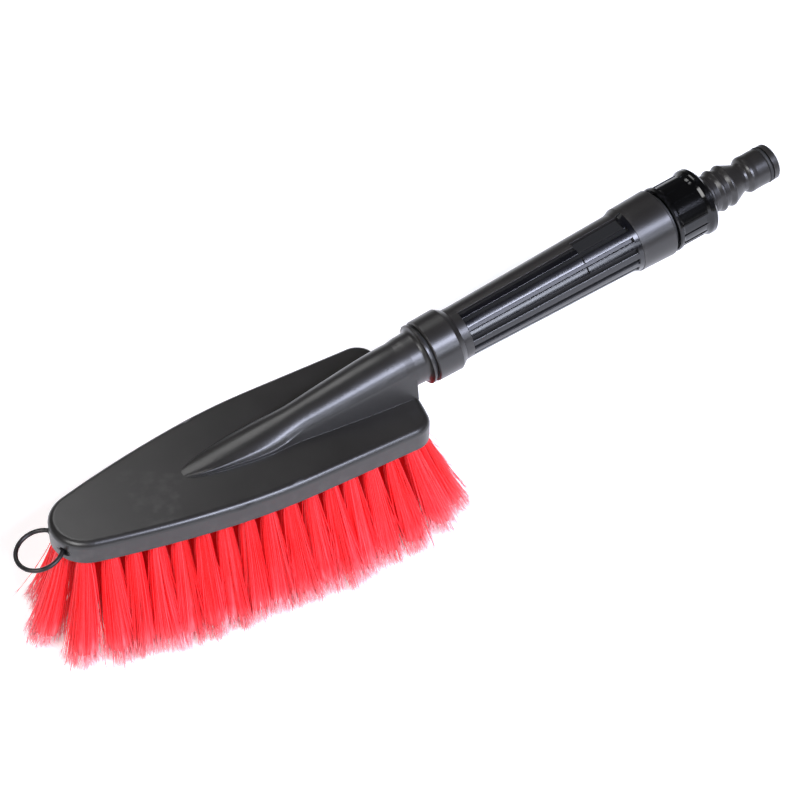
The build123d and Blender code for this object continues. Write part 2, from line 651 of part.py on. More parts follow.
def connector_profile():
    """Outer profile of the hose connector from its threaded end to its tip."""
    profile = [(THREAD_RADIUS - 0.05, THREAD_START + 1.2), (THREAD_RADIUS - 0.05, COLLAR_END + 0.1),
               (STEM_RADIUS, COLLAR_END + 0.1)]
    for station in RING_STATIONS:
        profile += [(STEM_RADIUS, station - 1.9), (RING_PEAK - 0.25, station - 0.7),
                    (RING_PEAK, station - 0.2),
                    (RING_PEAK, station + 0.4), (STEM_RADIUS + 0.1, station + 1.0)]
    profile[-1] = (RING_PEAK - 0.3, RING_STATIONS[-1] + 1.0)
    profile += [(7.2, 157.6), (6.45, 159.4), (6.35, 160.2), (6.45, 161.2), (7.4, 161.9), (8.0, 162.7),
                (8.1, 163.6),
                (8.05, 164.6), (CONNECTOR_RADIUS, 165.6), (CONNECTOR_RADIUS, ORING_START),
                (ORING_FLOOR, ORING_START),
                (ORING_FLOOR, ORING_START + ORING_WIDTH), (CONNECTOR_RADIUS, ORING_START + ORING_WIDTH),
                (CONNECTOR_RADIUS, CONNECTOR_END - 0.6), (CONNECTOR_RADIUS - 0.6, CONNECTOR_END),
                (5.2, CONNECTOR_END), (4.6, CONNECTOR_END - 2.0), (4.6, 158.0), (CONNECTOR_BORE, 150.0),
                (CONNECTOR_BORE, THREAD_START + 1.2)]
    return profile


def hose_connector():
    return on_handle(turned(connector_profile()))


def connector_oring():
    ring = Torus(ORING_FLOOR + SEAT_GAP + ORING_WIRE, ORING_WIRE)
    return on_handle(Pos(0, 0, ORING_START + ORING_WIDTH / 2) * ring)


def thread_washer():
    """The flat washer at the bottom of the spindle's thread."""
    return on_handle(lathe_tube([(THREAD_START + 0.05, 4.7), (THREAD_START + 1.15, 4.7)], CONNECTOR_BORE))


# ---------------------------------------------------------------- output

def tuft_groups():
    """Tufts by place: the two rings split into nose, rear and two sides, and the centre row."""
    groups = {}
    for ring, (inset, lean) in (("outer", OUTER_RING), ("middle", MIDDLE_RING)):
        for root, tip in ring_of_places(inset, lean, TUFT_PITCH):
            if root[0] < NOSE_X + NOSE_ZONE + inset:
                side = "nose"
            elif root[0] > REAR_X - REAR_ZONE - inset:
                side = "rear"
            elif root[1] < 0:
                side = "right"
            else:
                side = "left"
            groups.setdefault(f"tufts_{ring}_{side}", []).append((root, tip))
    groups["tufts_centre"] = inner_places()
    return groups


def save(node, shape):
    export_step(shape, f"parts/{node}.step")


def main():
    os.makedirs("parts", exist_ok=True)
    groups = tuft_groups()
    places = [place for group in groups.values() for place in group]
    for node, group in groups.items():
        save(node, Compound([tuft(root, tip) for root, tip in group]))
    save("tuft_anchors", Compound([anchor(root) for root, _ in places]))
    save("bristle_plate", bristle_plate(places))
    for make in (head_cover, plate_gasket, hang_ring, neck_washer, ferrule, handle_tube, grip_shell,
                 end_sleeve, valve_housing, valve_seat, seat_seal, valve_spindle, spindle_seals,
                 spindle_clip, twist_collar, hose_connector, connector_oring, thread_washer):
        save(make.__name__, make())
    print("tufts", {node: len(group) for node, group in groups.items()})


main()
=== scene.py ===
import json
import math
from collections import namedtuple

import bmesh
import bpy
import numpy as np
from mathutils import Matrix, Vector


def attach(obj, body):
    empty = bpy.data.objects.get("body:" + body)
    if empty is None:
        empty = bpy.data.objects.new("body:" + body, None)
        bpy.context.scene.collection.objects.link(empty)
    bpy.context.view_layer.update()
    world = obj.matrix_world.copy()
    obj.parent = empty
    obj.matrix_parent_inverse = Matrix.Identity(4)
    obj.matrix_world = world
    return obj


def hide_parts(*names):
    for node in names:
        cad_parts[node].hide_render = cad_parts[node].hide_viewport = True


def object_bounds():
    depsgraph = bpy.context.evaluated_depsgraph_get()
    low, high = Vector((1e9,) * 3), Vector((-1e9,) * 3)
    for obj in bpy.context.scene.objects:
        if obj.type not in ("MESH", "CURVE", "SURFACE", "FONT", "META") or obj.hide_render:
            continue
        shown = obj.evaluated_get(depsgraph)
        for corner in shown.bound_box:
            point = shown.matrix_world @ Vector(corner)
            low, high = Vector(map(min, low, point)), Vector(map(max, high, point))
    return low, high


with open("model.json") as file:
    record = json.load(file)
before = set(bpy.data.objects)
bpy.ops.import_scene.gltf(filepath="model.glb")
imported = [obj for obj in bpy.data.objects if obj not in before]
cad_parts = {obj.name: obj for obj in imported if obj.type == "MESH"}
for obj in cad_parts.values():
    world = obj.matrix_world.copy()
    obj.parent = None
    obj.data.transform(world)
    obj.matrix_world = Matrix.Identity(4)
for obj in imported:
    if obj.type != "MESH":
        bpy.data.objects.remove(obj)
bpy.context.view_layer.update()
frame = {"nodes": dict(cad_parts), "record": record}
scene = bpy.context.scene

MM = 0.001

# ---------------------------------------------------------------- camera

CAMERA_AZIMUTH = math.radians(33.07)
CAMERA_ELEVATION = math.radians(45.26)
CAMERA_ROLL = math.radians(1.34)
CAMERA_DISTANCE = 0.9078
CAMERA_AIM = Vector((0.0045, 0.0, 0.050))
CAMERA_SHIFT_X = 0.06123
CAMERA_SHIFT_Y = 0.02581
CAMERA_LENS = 103.4        # mm
CAMERA_SENSOR = 36.0       # mm
CAMERA_CLIP = 0.01, 50.0


def make_camera():
    ca, sa = math.cos(CAMERA_AZIMUTH), math.sin(CAMERA_AZIMUTH)
    ce, se = math.cos(CAMERA_ELEVATION), math.sin(CAMERA_ELEVATION)
    back = Vector((-sa * ce, -ca * ce, se))
    level = Vector((ca, -sa, 0.0))
    upright = back.cross(level)
    cr, sr = math.cos(CAMERA_ROLL), math.sin(CAMERA_ROLL)
    right = cr * level + sr * upright
    up = cr * upright - sr * level
    data = bpy.data.cameras.new("camera")
    data.lens = CAMERA_LENS
    data.sensor_width = CAMERA_SENSOR
    data.clip_start, data.clip_end = CAMERA_CLIP
    camera = bpy.data.objects.new("camera", data)
    scene.collection.objects.link(camera)
    place = CAMERA_AIM + back * CAMERA_DISTANCE
    place += right * CAMERA_SHIFT_X + up * CAMERA_SHIFT_Y
    turn = Matrix((right, up, back)).transposed().to_4x4()
    camera.matrix_world = Matrix.Translation(place) @ turn
    scene.camera = camera


make_camera()

# ---------------------------------------------------------------- materials

# Noise scales are in waves per metre, and a bump's depth is in metres.
Bump = namedtuple("Bump", "height strength depth")

NOISE_RANGE = 0.3, 0.7              # most of a noise's values lie between these
BEVEL_SAMPLES = 4
EDGE_POINTINESS = 0.53, 0.62        # over these an edge turns from plain to worn, and on the collar to painted highlight
WEAR_AND_GLINT_NOISE = 260.0
WEAR_AND_GLINT_PATCHES = 0.45, 0.70
WEAR_AND_GLINT_STRENGTH = 0.6


class Nodes:
    """A short way to write a node tree."""

    def __init__(self, name):
        self.material = bpy.data.materials.new(name)
        self.material.use_nodes = True
        self.tree = self.material.node_tree
        self.shader = self.tree.nodes["Principled BSDF"]
        self.place = self.add("ShaderNodeTexCoord").outputs["Object"]

    def add(self, kind, **settings):
        node = self.tree.nodes.new(kind)
        for key, value in settings.items():
            setattr(node, key, value)
        return node

    def link(self, source, target):
        self.tree.links.new(source, target)

    def noise(self, scale, detail=2.0, stretch=None):
        node = self.add("ShaderNodeTexNoise")
        node.inputs["Scale"].default_value = scale
        node.inputs["Detail"].default_value = detail
        source = self.place
        if stretch:
            mapping = self.add("ShaderNodeMapping")
            mapping.inputs["Scale"].default_value = stretch
            self.link(source, mapping.inputs["Vector"])
            source = mapping.outputs["Vector"]
        self.link(source, node.inputs["Vector"])
        return node.outputs["Fac"]

    def ramp(self, source, stops):
        node = self.add("ShaderNodeValToRGB")
        elements = node.color_ramp.elements
        while len(elements) < len(stops):
            elements.new(0.5)
        for element, (position, colour) in zip(elements, stops):
            element.position = position
            element.color = (*colour, 1.0)
        self.link(source, node.inputs["Fac"])
        return node.outputs["Color"]

    def span(self, source, low, high, start=NOISE_RANGE[0], end=NOISE_RANGE[1]):
        """Maps start...end of the source to low...high, and no further."""
        node = self.add("ShaderNodeMapRange")
        node.inputs["From Min"].default_value = start
        node.inputs["From Max"].default_value = end
        node.inputs["To Min"].default_value = low
        node.inputs["To Max"].default_value = high
        self.link(source, node.inputs["Value"])
        return node.outputs["Result"]

    def mix(self, factor, a, b, mode="MIX"):
        node = self.add("ShaderNodeMix", data_type="RGBA", blend_type=mode)
        for value, name in ((factor, "Factor"), (a, "A"), (b, "B")):
            socket = node.inputs[name]
            if isinstance(value, (int, float)):
                socket.default_value = value
            elif isinstance(value, tuple):
                socket.default_value = (*value, 1.0)
            else:
                self.link(value, socket)
        return node.outputs["Result"]

    def mix_vectors(self, factor, a, b):
        node = self.add("ShaderNodeMix", data_type="VECTOR")
        # the node lists its sockets for every data type; these are those for vectors
        self.link(factor, node.inputs[0])
        self.link(a, node.inputs[4])
        self.link(b, node.inputs[5])
        return node.outputs[1]

    def bump(self, layers, edge=0.0, normal=None):
        """Chained bumps over an optional soft edge or a given normal."""
        if edge:
            bevel = self.add("ShaderNodeBevel", samples=BEVEL_SAMPLES)
            bevel.inputs["Radius"].default_value = edge
            normal = bevel.outputs["Normal"]
        for layer in layers:
            node = self.add("ShaderNodeBump")
            node.inputs["Strength"].default_value = layer.strength
            node.inputs["Distance"].default_value = layer.depth
            self.link(layer.height, node.inputs["Height"])
            if normal is not None:
                self.link(normal, node.inputs["Normal"])
            normal = node.outputs["Normal"]
        self.link(normal, self.shader.inputs["Normal"])

    def grey(self, value):
        node = self.add("ShaderNodeCombineColor")
        for socket in node.inputs[:3]:
            self.link(value, socket)
        return node.outputs["Color"]

    def channel(self, colour):
        node = self.add("ShaderNodeSeparateColor")
        self.link(colour, node.inputs["Color"])
        return node.outputs["Red"]

    def wear_and_glint(self, colour, worn_and_glint):
        """Mixes the edge colour in along the convex edges, in patches: wear, and on the collar's thin
        ribs painted highlight.
        """
        point = self.add("ShaderNodeNewGeometry").outputs["Pointiness"]
        edge = self.span(point, 0.0, 1.0, *EDGE_POINTINESS)
        patchy = self.span(self.noise(WEAR_AND_GLINT_NOISE, 3.0), 0.0, WEAR_AND_GLINT_STRENGTH, *WEAR_AND_GLINT_PATCHES)
        both = self.add("ShaderNodeMath", operation="MULTIPLY")
        self.link(edge, both.inputs[0])
        self.link(patchy, both.inputs[1])
        return self.mix(both.outputs[0], colour, worn_and_glint)

    def finish(self, colour, roughness, **fixed):
        """Links colour and roughness; every further keyword is a fixed value of the shader."""
        if isinstance(colour, tuple):
            self.shader.inputs["Base Color"].default_value = (*colour, 1.0)
        else:
            self.link(colour, self.shader.inputs["Base Color"])
        self.link(roughness, self.shader.inputs["Roughness"])
        for name, value in fixed.items():
            socket = name.replace("_", " ").title().replace("Ior", "IOR")
            self.shader.inputs[socket].default_value = value
        return self.material


def grey_of(value):
    return value, value, value


def moulded(name, dark, light, rough):
    """Moulded plastic: fine spark-eroded grain, slow tone changes and slightly paler edges."""
    n = Nodes(name)
    tone = n.mix(n.span(n.noise(scale=28.0, detail=3.0), 0.0, 1.0), dark, light)
    tone = n.wear_and_glint(tone, tuple(min(1.0, 2.4 * c + 0.01) for c in light))
    grain = Bump(n.noise(scale=1900.0), strength=0.12, depth=0.04 * MM)
    waves = Bump(n.noise(scale=420.0, detail=3.0), strength=0.08, depth=0.1 * MM)
    n.bump([grain, waves], edge=0.3 * MM)
    smudge = n.noise(scale=75.0, detail=4.0)
    return n.finish(tone, n.span(smudge, *rough))


def rotated(n, vector, angle):
    node = n.add("ShaderNodeVectorRotate", rotation_type="Y_AXIS")
    node.inputs["Angle"].default_value = angle
    n.link(vector, node.inputs["Vector"])
    return node.outputs["Vector"]


def vector_math(n, operation, a, b=None):
    node = n.add("ShaderNodeVectorMath", operation=operation)
    for value, socket in ((a, node.inputs[0]), (b, node.inputs[1])):
        if isinstance(value, bpy.types.NodeSocket):
            n.link(value, socket)
        elif value is not None:
            socket.default_value = value
    return node.outputs["Value" if operation == "LENGTH" else "Vector"]


def grip_surface(n):
    """Depth below the tapered envelope of the ribs, in metres, and the normal of that envelope."""
    local = rotated(n, vector_math(n, "SUBTRACT", n.place, HANDLE_START), HANDLE_TILT)
    parts = n.add("ShaderNodeSeparateXYZ")
    n.link(local, parts.inputs["Vector"])
    across = n.add("ShaderNodeCombineXYZ")
    n.link(parts.outputs["Y"], across.inputs["Y"])
    n.link(parts.outputs["Z"], across.inputs["Z"])
    (start, start_radius), (end, end_radius) = GRIP_TAPER
    depth = n.add("ShaderNodeMath", operation="SUBTRACT")
    n.link(n.span(parts.outputs["X"], start_radius, end_radius, start, end), depth.inputs[0])
    n.link(vector_math(n, "LENGTH", across.outputs["Vector"]), depth.inputs[1])
    slope = (start_radius - end_radius) / (end - start)
    radial = vector_math(n, "NORMALIZE", across.outputs["Vector"])
    tipped = vector_math(n, "ADD", radial, (slope, 0.0, 0.0))
    to_world = n.add("ShaderNodeVectorTransform", vector_type="NORMAL",
                     convert_from="OBJECT", convert_to="WORLD")
    n.link(rotated(n, tipped, -HANDLE_TILT), to_world.inputs["Vector"])
    return depth.outputs["Value"], vector_math(n, "NORMALIZE", to_world.outputs["Vector"])


def glossy(name, dark, light, rough, worn_and_glint):
    """Polished black plastic with faint flow waves. The grip's grooves are dull, and their near black
    colour is painted shade.
    """
    n = Nodes(name)
    # paler patches along convex edges: wear, and on the collar's thin ribs painted highlight
    tone = n.wear_and_glint(n.mix(n.span(n.noise(scale=40.0), 0.0, 1.0), dark, light), worn_and_glint)
    polish = n.span(n.noise(scale=60.0, detail=3.0), *rough)
    base = None
    if name == GRIP_FINISH:
        depth, envelope = grip_surface(n)
        # painted shade: deeper in a groove the colour turns near black, and the surface turns dull
        cavity = n.span(depth, 0.0, 1.0, *GROOVE_DULLS_AND_SHADES)
        tone = n.mix(cavity, tone, grey_of(GROOVE_SHADE_TONE))
        polish = n.channel(n.mix(cavity, n.grey(polish), grey_of(GROOVE_ROUGHNESS)))
        own = n.add("ShaderNodeNewGeometry").outputs["Normal"]
        base = n.mix_vectors(n.span(depth, 1.0, 0.0, *RIB_FACE), own, envelope)
    else:
        n.shader.inputs["Specular IOR Level"].default_value = 0.3
    waves = Bump(n.noise(scale=60.0, detail=1.0), strength=0.06, depth=0.2 * MM)
    grain = Bump(n.noise(scale=1400.0), strength=0.03, depth=0.03 * MM)
    n.bump([waves, grain], normal=base)
    return n.finish(tone, polish, coat_weight=0.2, coat_roughness=0.1)


def soft_rubber(name):
    n = Nodes(name)
    tone = n.mix(n.span(n.noise(scale=300.0), 0.0, 1.0), grey_of(0.008), grey_of(0.02))
    n.bump([Bump(n.noise(scale=2200.0), strength=0.2, depth=0.05 * MM)], edge=0.2 * MM)
    return n.finish(tone, n.span(n.noise(scale=500.0), 0.55, 0.75))


def coated_wire(name):
    n = Nodes(name)
    patches = n.span(n.noise(scale=350.0, detail=4.0), 0.0, 1.0)
    tone = n.mix(patches, (0.006, 0.005, 0.005), (0.02, 0.016, 0.015))
    n.bump([Bump(n.noise(scale=1500.0, detail=3.0), strength=0.25, depth=0.06 * MM)])
    return n.finish(tone, n.span(n.noise(scale=600.0), 0.28, 0.45), metallic=0.35)


def drawn_steel(name):
    n = Nodes(name)
    tone = n.mix(n.span(n.noise(scale=700.0), 0.0, 1.0), (0.45, 0.45, 0.46), (0.62, 0.62, 0.63))
    drawn = n.noise(scale=1800.0, stretch=(0.1, 1.0, 1.0))
    n.bump([Bump(drawn, strength=0.2, depth=0.03 * MM)])
    return n.finish(tone, n.span(n.noise(scale=500.0), 0.25, 0.4), metallic=1.0)


# (share of the way down a filament, colour); the near black start at the root is painted shade
BRISTLE_ALONG = [
    (0.0, (0.20, 0.002, 0.004)), (0.14, (0.80, 0.008, 0.012)), (0.5, (0.96, 0.014, 0.018)),
    (0.74, (1.0, 0.035, 0.045)), (0.88, (1.0, 0.16, 0.18)), (1.0, (1.0, 0.55, 0.58)),
]
# (a filament's own tone, what it multiplies the colour by)
BRISTLE_SHADE = [
    (0.0, (0.62, 0.3, 0.3)), (0.45, (0.95, 0.8, 0.8)), (1.0, (1.0, 1.6, 1.6)),
]
PALE_RED = 1.0, 0.20, 0.24          # mixed into the palest filaments
PALE_SHARE = 0.22
BRISTLE_GLOW = 0.08                 # stands for light that passes through the filaments


def bristle(name):
    """Red plastic filament: tone by filament, paler flagged ends, painted shade near the root, and a
    faint painted glow for light passing through it.
    """
    n = Nodes(name)
    data = n.add("ShaderNodeAttribute", attribute_name="strand")
    parts = n.add("ShaderNodeSeparateColor")
    n.link(data.outputs["Color"], parts.inputs["Color"])
    # the colour down each filament, near black at the root as painted shade
    along = n.ramp(parts.outputs["Green"], BRISTLE_ALONG)
    shade = n.ramp(parts.outputs["Red"], BRISTLE_SHADE)
    tone = n.mix(1.0, along, shade, "MULTIPLY")
    paler = n.span(parts.outputs["Blue"], 0.0, PALE_SHARE, 0.6, 1.0)
    tone = n.mix(paler, tone, PALE_RED)
    drawn = n.noise(scale=3000.0, detail=1.0, stretch=(1.0, 1.0, 0.05))
    n.bump([Bump(drawn, strength=0.15, depth=0.04 * MM)])
    n.link(tone, n.shader.inputs["Emission Color"])
    return n.finish(tone, n.span(n.noise(scale=900.0), 0.45, 0.6),
                    specular_ior_level=0.35, emission_strength=BRISTLE_GLOW)


# the handle's axis and the taper over the grip's ribs: (distance along the axis, radius)
HANDLE_START = Vector((85.8, 0.0, 70.7)) * MM
HANDLE_TILT = math.radians(8.5)
GRIP_TAPER = (19.4 * MM, 11.2 * MM), (98.3 * MM, 13.1 * MM)
GROOVE_DULLS_AND_SHADES = 0.18 * MM, 0.45 * MM     # depths over which a groove turns dull, and black with painted shade
RIB_FACE = 0.04 * MM, 0.12 * MM         # depths over which the ribs' round faces end
# painted shade: the near black colour of the grip's grooves
GROOVE_SHADE_TONE = 0.0003
GROOVE_ROUGHNESS = 0.9
GRIP_FINISH = "gloss_black_grip"        # the gloss of the grip's shell, with its grooves

MATERIALS = {
    "cover_plastic": moulded(
        "cover_plastic", (0.0120, 0.0110, 0.0100), (0.0180, 0.0165, 0.0150), (0.29, 0.35)),
    "plate_plastic": moulded("plate_plastic", grey_of(0.010), grey_of(0.016), (0.4, 0.5)),
    # the collar's pale edge colour is painted highlight on its thin ribs as well as wear
    "gloss_black": glossy(
        "gloss_black", grey_of(0.001), grey_of(0.002), (0.10, 0.16), (0.03, 0.03, 0.034)),
    GRIP_FINISH: glossy(
        GRIP_FINISH, (0.001, 0.001, 0.002), (0.003, 0.003, 0.004), (0.17, 0.24), (0.008, 0.008, 0.009)),
    "black_rubber": soft_rubber("black_rubber"),
    "ring_wire": coated_wire("ring_wire"),
    "steel_wire": drawn_steel("steel_wire"),
    "valve_plastic": moulded(
        "valve_plastic", (0.45, 0.45, 0.44), (0.52, 0.52, 0.50), (0.35, 0.45)),
    "bristle_red": bristle("bristle_red"),
}

for part in frame["record"]["subparts"]:
    finish = GRIP_FINISH if part["node"] == "grip_shell" else part["material_slot"]
    for place in frame["nodes"][part["node"]].material_slots:
        place.material = MATERIALS[finish]

# ---------------------------------------------------------------- bristle tufts

SEED = 4711
MERGED = 1e-6               # metres within which the CAD mesh's points are one
LEVEL = 1e-5                # metres within which a point belongs to a tuft's end face

# a bundle, from its hole in the plate down to its tips
ROOT_BUNDLE = 2.0 * MM      # its radius in the hole
BUNDLE_OPENS = 0.6 * MM     # how far it widens just below the hole
OPENED_AT = 0.25            # the share of the way down where it has opened
TIP_SPREAD = 1.6            # the filaments' ends reach this much further than the CAD tuft
LEAN_POWER = 1.15           # above 1, a tuft leans more towards its tip

# its filaments
STRANDS = 180
STRAND_RADIUS = 0.21 * MM
STRAND_SHARES = np.array([0.0, 0.08, 0.22, 0.42, 0.64, 0.84, 1.0])
STRAND_TAPER = np.array([0.9, 1.0, 1.05, 1.1, 1.0, 0.75, 0.4])
STRAND_TONE_END = 0.95
GOLDEN_TURN = math.pi * (3 - math.sqrt(5))
DISC_POWER = 0.33           # below 0.5, more filaments stand near the bundle's surface
SWAY = 0.22 * MM
BUNDLE_BEND = 1.0 * MM
SPREAD_POWER = 1.3
STRAYS_ABOVE = 0.94
STRAY_REACH = 1.35

# the locks that the filaments' ends gather in
ANY_TURN = 6.28             # start angles are drawn from 0 to this
LOCKS_ROUND = 6.283         # the turn that the locks are spread over
LOCK_COUNTS = 6, 9
LOCK_REACH = 0.8
LOCK_WIDTH = 0.6
LOCK_SHARES = 0.45, 0.55    # how far the ends stay spread, and how far they gather
LOCK_LENGTHS = -1.2, 2.0    # mm by which whole locks end higher
LENGTH_SPREAD = 1.5         # mm
LENGTH_BASE = 0.3 * MM
LENGTH_LIMITS = 0.05 * MM, 8.0 * MM

# the split hairs at the filaments' ends
SPLIT_HAIRS = 3
HAIR_PUSH = 0.95            # mm sideways
HAIR_DROP = -0.2, 1.3       # mm, mean and spread of how far they end above the filament
HAIR_TONE = 0.88

# the dense core
CORE_SIDES = 32
CORE_RINGS = 12
CORE_END = 6.5 * MM         # its lowest height
CORE_FILL = 0.93
CORE_TAPER = 0.2


def tuft_places(node):
    """Root centre, tip centre and tip radius of every tuft solid in a CAD node."""
    work = bmesh.new()
    work.from_mesh(node.data)
    bmesh.ops.remove_doubles(work, verts=work.verts, dist=MERGED)
    seen = set()
    places = []
    for start in work.verts:
        if start in seen:
            continue
        group = [start]
        seen.add(start)
        for vert in group:
            for edge in vert.link_edges:
                other = edge.other_vert(vert)
                if other not in seen:
                    seen.add(other)
                    group.append(other)
        points = np.array([v.co for v in group])
        low, high = points[:, 2].min(), points[:, 2].max()
        tip = points[points[:, 2] < low + LEVEL]
        root = points[points[:, 2] > high - LEVEL]
        middle = (root.min(axis=0) + root.max(axis=0)) / 2
        end = (tip.min(axis=0) + tip.max(axis=0)) / 2
        places.append((middle, end, (tip[:, 0].max() - tip[:, 0].min()) / 2))
    work.free()
    return places


def tubes(paths, radii, tone, sides=3):
    """Closed thin tubes along many paths at once, each ending in a point.

    A row of tone is (own tone, colour share at the start, the same at the end, paleness).
    """
    count, rings, _ = paths.shape
    angles = np.linspace(0, 2 * math.pi, sides, endpoint=False)
    circle = np.stack([np.cos(angles), np.sin(angles), np.zeros(sides)], axis=1)
    body = paths[:, :-1, None, :] + radii[:, :-1, None, None] * circle[None, None, :, :]
    per = (rings - 1) * sides + 1
    verts = np.concatenate([body.reshape(count, -1, 3), paths[:, -1:, :]], axis=1).reshape(-1, 3)
    patterns = []
    for ring in range(rings - 2):
        for side in range(sides):
            nxt = (side + 1) % sides
            a = ring * sides
            patterns.append((a + side, a + sides + side, a + sides + nxt, a + nxt))
    top = (rings - 2) * sides
    for side in range(sides):
        patterns.append((top + side, per - 1, top + (side + 1) % sides))
    patterns.append(tuple(range(sides)))
    offsets = np.arange(count) * per
    faces = []
    for pattern in patterns:
        faces.extend((offsets[:, None] + np.array(pattern)[None, :]).tolist())
    along = np.linspace(0, 1, rings)
    start, end = tone[:, 1], tone[:, 2]
    green = start[:, None] + (end - start)[:, None] * along[None, :]
    ring_green = np.repeat(green[:, :-1, None], sides, axis=2).reshape(count, -1)
    colours = np.ones((count, per, 4))
    colours[:, :, 0] = tone[:, 0][:, None]
    colours[:, :, 1] = np.concatenate([ring_green, green[:, -1:]], axis=1)
    colours[:, :, 2] = tone[:, 3][:, None]
    return verts, faces, colours.reshape(-1, 4)


def bundle_radius(share, tip_radius):
    """Radius of the bundle at a share of the way down: it opens quickly below its hole."""
    opened = np.clip(share / OPENED_AT, 0, 1)
    opened = opened * opened * (3 - 2 * opened)
    end = TIP_SPREAD * tip_radius
    return ROOT_BUNDLE + BUNDLE_OPENS * opened + (end - ROOT_BUNDLE - BUNDLE_OPENS) * share


def tuft_axis(root, tip, share):
    """The middle line of a tuft, which leans more towards its tip."""
    return root[None, :2] + (tip - root)[None, :2] * (share ** LEAN_POWER)[:, None]


def lock_centres(draw):
    """Where on the unit disc a tuft's locks gather, the middle one last."""
    locks = int(draw.integers(*LOCK_COUNTS))
    turn = draw.uniform(0, ANY_TURN) + np.arange(locks) * LOCKS_ROUND / locks
    turn = turn + draw.normal(0, 0.25, locks)
    centres = LOCK_REACH * np.stack([np.cos(turn), np.sin(turn)], axis=1)
    centres = centres * draw.uniform(0.8, 1.15, (locks, 1))
    return np.vstack([centres, [[0, 0]]])


def tuft_strands(root, tip, tip_radius, draw):
    """The paths, radii and tones of one tuft's filaments, gathered in a few locks."""
    order = np.arange(STRANDS)
    turn = order * GOLDEN_TURN + draw.uniform(0, ANY_TURN)
    reach = ((order + 0.5) / STRANDS) ** DISC_POWER
    disc = np.stack([reach * np.cos(turn), reach * np.sin(turn)], axis=1)
    centres = lock_centres(draw)
    nearest = np.argmin(((disc[:, None] - centres[None]) ** 2).sum(axis=2), axis=1)
    spread = disc + draw.normal(0, 0.08, disc.shape)
    gathered = centres[nearest] + LOCK_WIDTH * (disc - centres[nearest])
    gathered = gathered + draw.normal(0, 0.05, disc.shape)
    end_disc = LOCK_SHARES[0] * spread + LOCK_SHARES[1] * gathered
    end_disc *= 1.0 + 0.2 * draw.normal(0, 1, (STRANDS, 1))
    end_disc += draw.normal(0, 0.1, end_disc.shape)
    end_disc[draw.uniform(0, 1, STRANDS) > STRAYS_ABOVE] *= STRAY_REACH
    lock_length = draw.uniform(*LOCK_LENGTHS, len(centres)) * MM
    lengths = LENGTH_BASE + lock_length[nearest]
    lengths = lengths + np.abs(draw.normal(0, LENGTH_SPREAD, STRANDS)) * MM
    lengths = np.clip(lengths, *LENGTH_LIMITS)
    top = root[2]
    paths = np.zeros((STRANDS, len(STRAND_SHARES), 3))
    sway = draw.normal(0, 1.0, (STRANDS, 2)) * SWAY
    axis = tuft_axis(root, tip, STRAND_SHARES)
    bend = draw.normal(0, 1.0, 2) * BUNDLE_BEND
    for i, u in enumerate(STRAND_SHARES):
        outward = u ** SPREAD_POWER
        mixed = disc * (1 - outward) + end_disc * outward
        paths[:, i, :2] = axis[i] + mixed * bundle_radius(u, tip_radius)
        paths[:, i, :2] += sway * math.sin(math.pi * u) + bend * u * u
        paths[:, i, 2] = top + (lengths - top) * u
    tone = np.zeros((STRANDS, 4))
    lock_tone = draw.uniform(0.2, 1.0, len(centres))
    tone[:, 0] = np.clip(lock_tone[nearest] + draw.normal(0, 0.15, STRANDS), 0, 1)
    tone[:, 2] = STRAND_TONE_END
    tone[:, 3] = draw.uniform(0, 1, STRANDS)
    thick = STRAND_RADIUS * (1.0 + 0.25 * draw.normal(0, 1, STRANDS)).clip(0.6, 1.6)
    return paths, thick[:, None] * STRAND_TAPER[None, :], tone


def flags(paths, radii, tone, draw):
    """Fine split hairs at the filaments' ends, some of them longer than the filament."""
    count = len(paths)
    before, last = radii[:, -2], radii[:, -1]
    out_paths, out_radii, out_tone = [], [], []
    for _ in range(SPLIT_HAIRS):
        share = draw.uniform(0.1, 0.6, (count, 1))
        start = paths[:, -2] * (1 - share) + paths[:, -1] * share
        push = draw.normal(0, HAIR_PUSH, (count, 2)) * MM
        end = paths[:, -1].copy()
        end[:, :2] += push
        end[:, 2] = np.maximum(end[:, 2] + draw.normal(*HAIR_DROP, count) * MM, 0.02 * MM)
        middle = (start + end) / 2
        middle[:, :2] -= 0.12 * push
        out_paths.append(np.stack([start, middle, end], axis=1))
        out_radii.append(np.stack([before * 0.8, before * 0.75, last * 0], axis=1))
        row = tone.copy()
        row[:, 0] = np.clip(row[:, 0] + 0.15, 0, 1)
        row[:, 1] = HAIR_TONE
        row[:, 2] = 1.0
        out_tone.append(row)
    return np.concatenate(out_paths), np.concatenate(out_radii), np.concatenate(out_tone)


def core(root, tip, tip_radius, draw):
    """The dense middle of a tuft, a grooved closed form that the filaments cover."""
    top = root[2]
    sides = CORE_SIDES
    angles = np.linspace(0, 2 * math.pi, sides, endpoint=False)
    groove = 1.0 + 0.05 * draw.normal(0, 1, sides)
    verts, tones = [], []
    for i in range(CORE_RINGS):
        u = i / (CORE_RINGS - 1)
        down = u * (top - CORE_END) / top
        x, y = tuft_axis(root, tip, np.array([down]))[0]
        radius = bundle_radius(down, tip_radius) * (CORE_FILL - CORE_TAPER * u ** 2)
        ring = groove + 0.02 * draw.normal(0, 1, sides)
        for angle, g in zip(angles, ring):
            reach = radius * g
            verts.append((x + reach * math.cos(angle), y + reach * math.sin(angle), top * (1 - down)))
            # recessed sides of the core get a darker tone: painted shade in its grooves
            tones.append((float(np.clip(0.55 + 4.0 * (g - 1.0), 0.1, 1)), down, 0.3, 1.0))
    faces = []
    for i in range(CORE_RINGS - 1):
        for s in range(sides):
            nxt = (s + 1) % sides
            faces.append([i * sides + s, (i + 1) * sides + s, (i + 1) * sides + nxt, i * sides + nxt])
    faces.append(list(range(sides)))
    faces.append([(CORE_RINGS - 1) * sides + s for s in reversed(range(sides))])
    return np.array(verts), faces, np.array(tones)


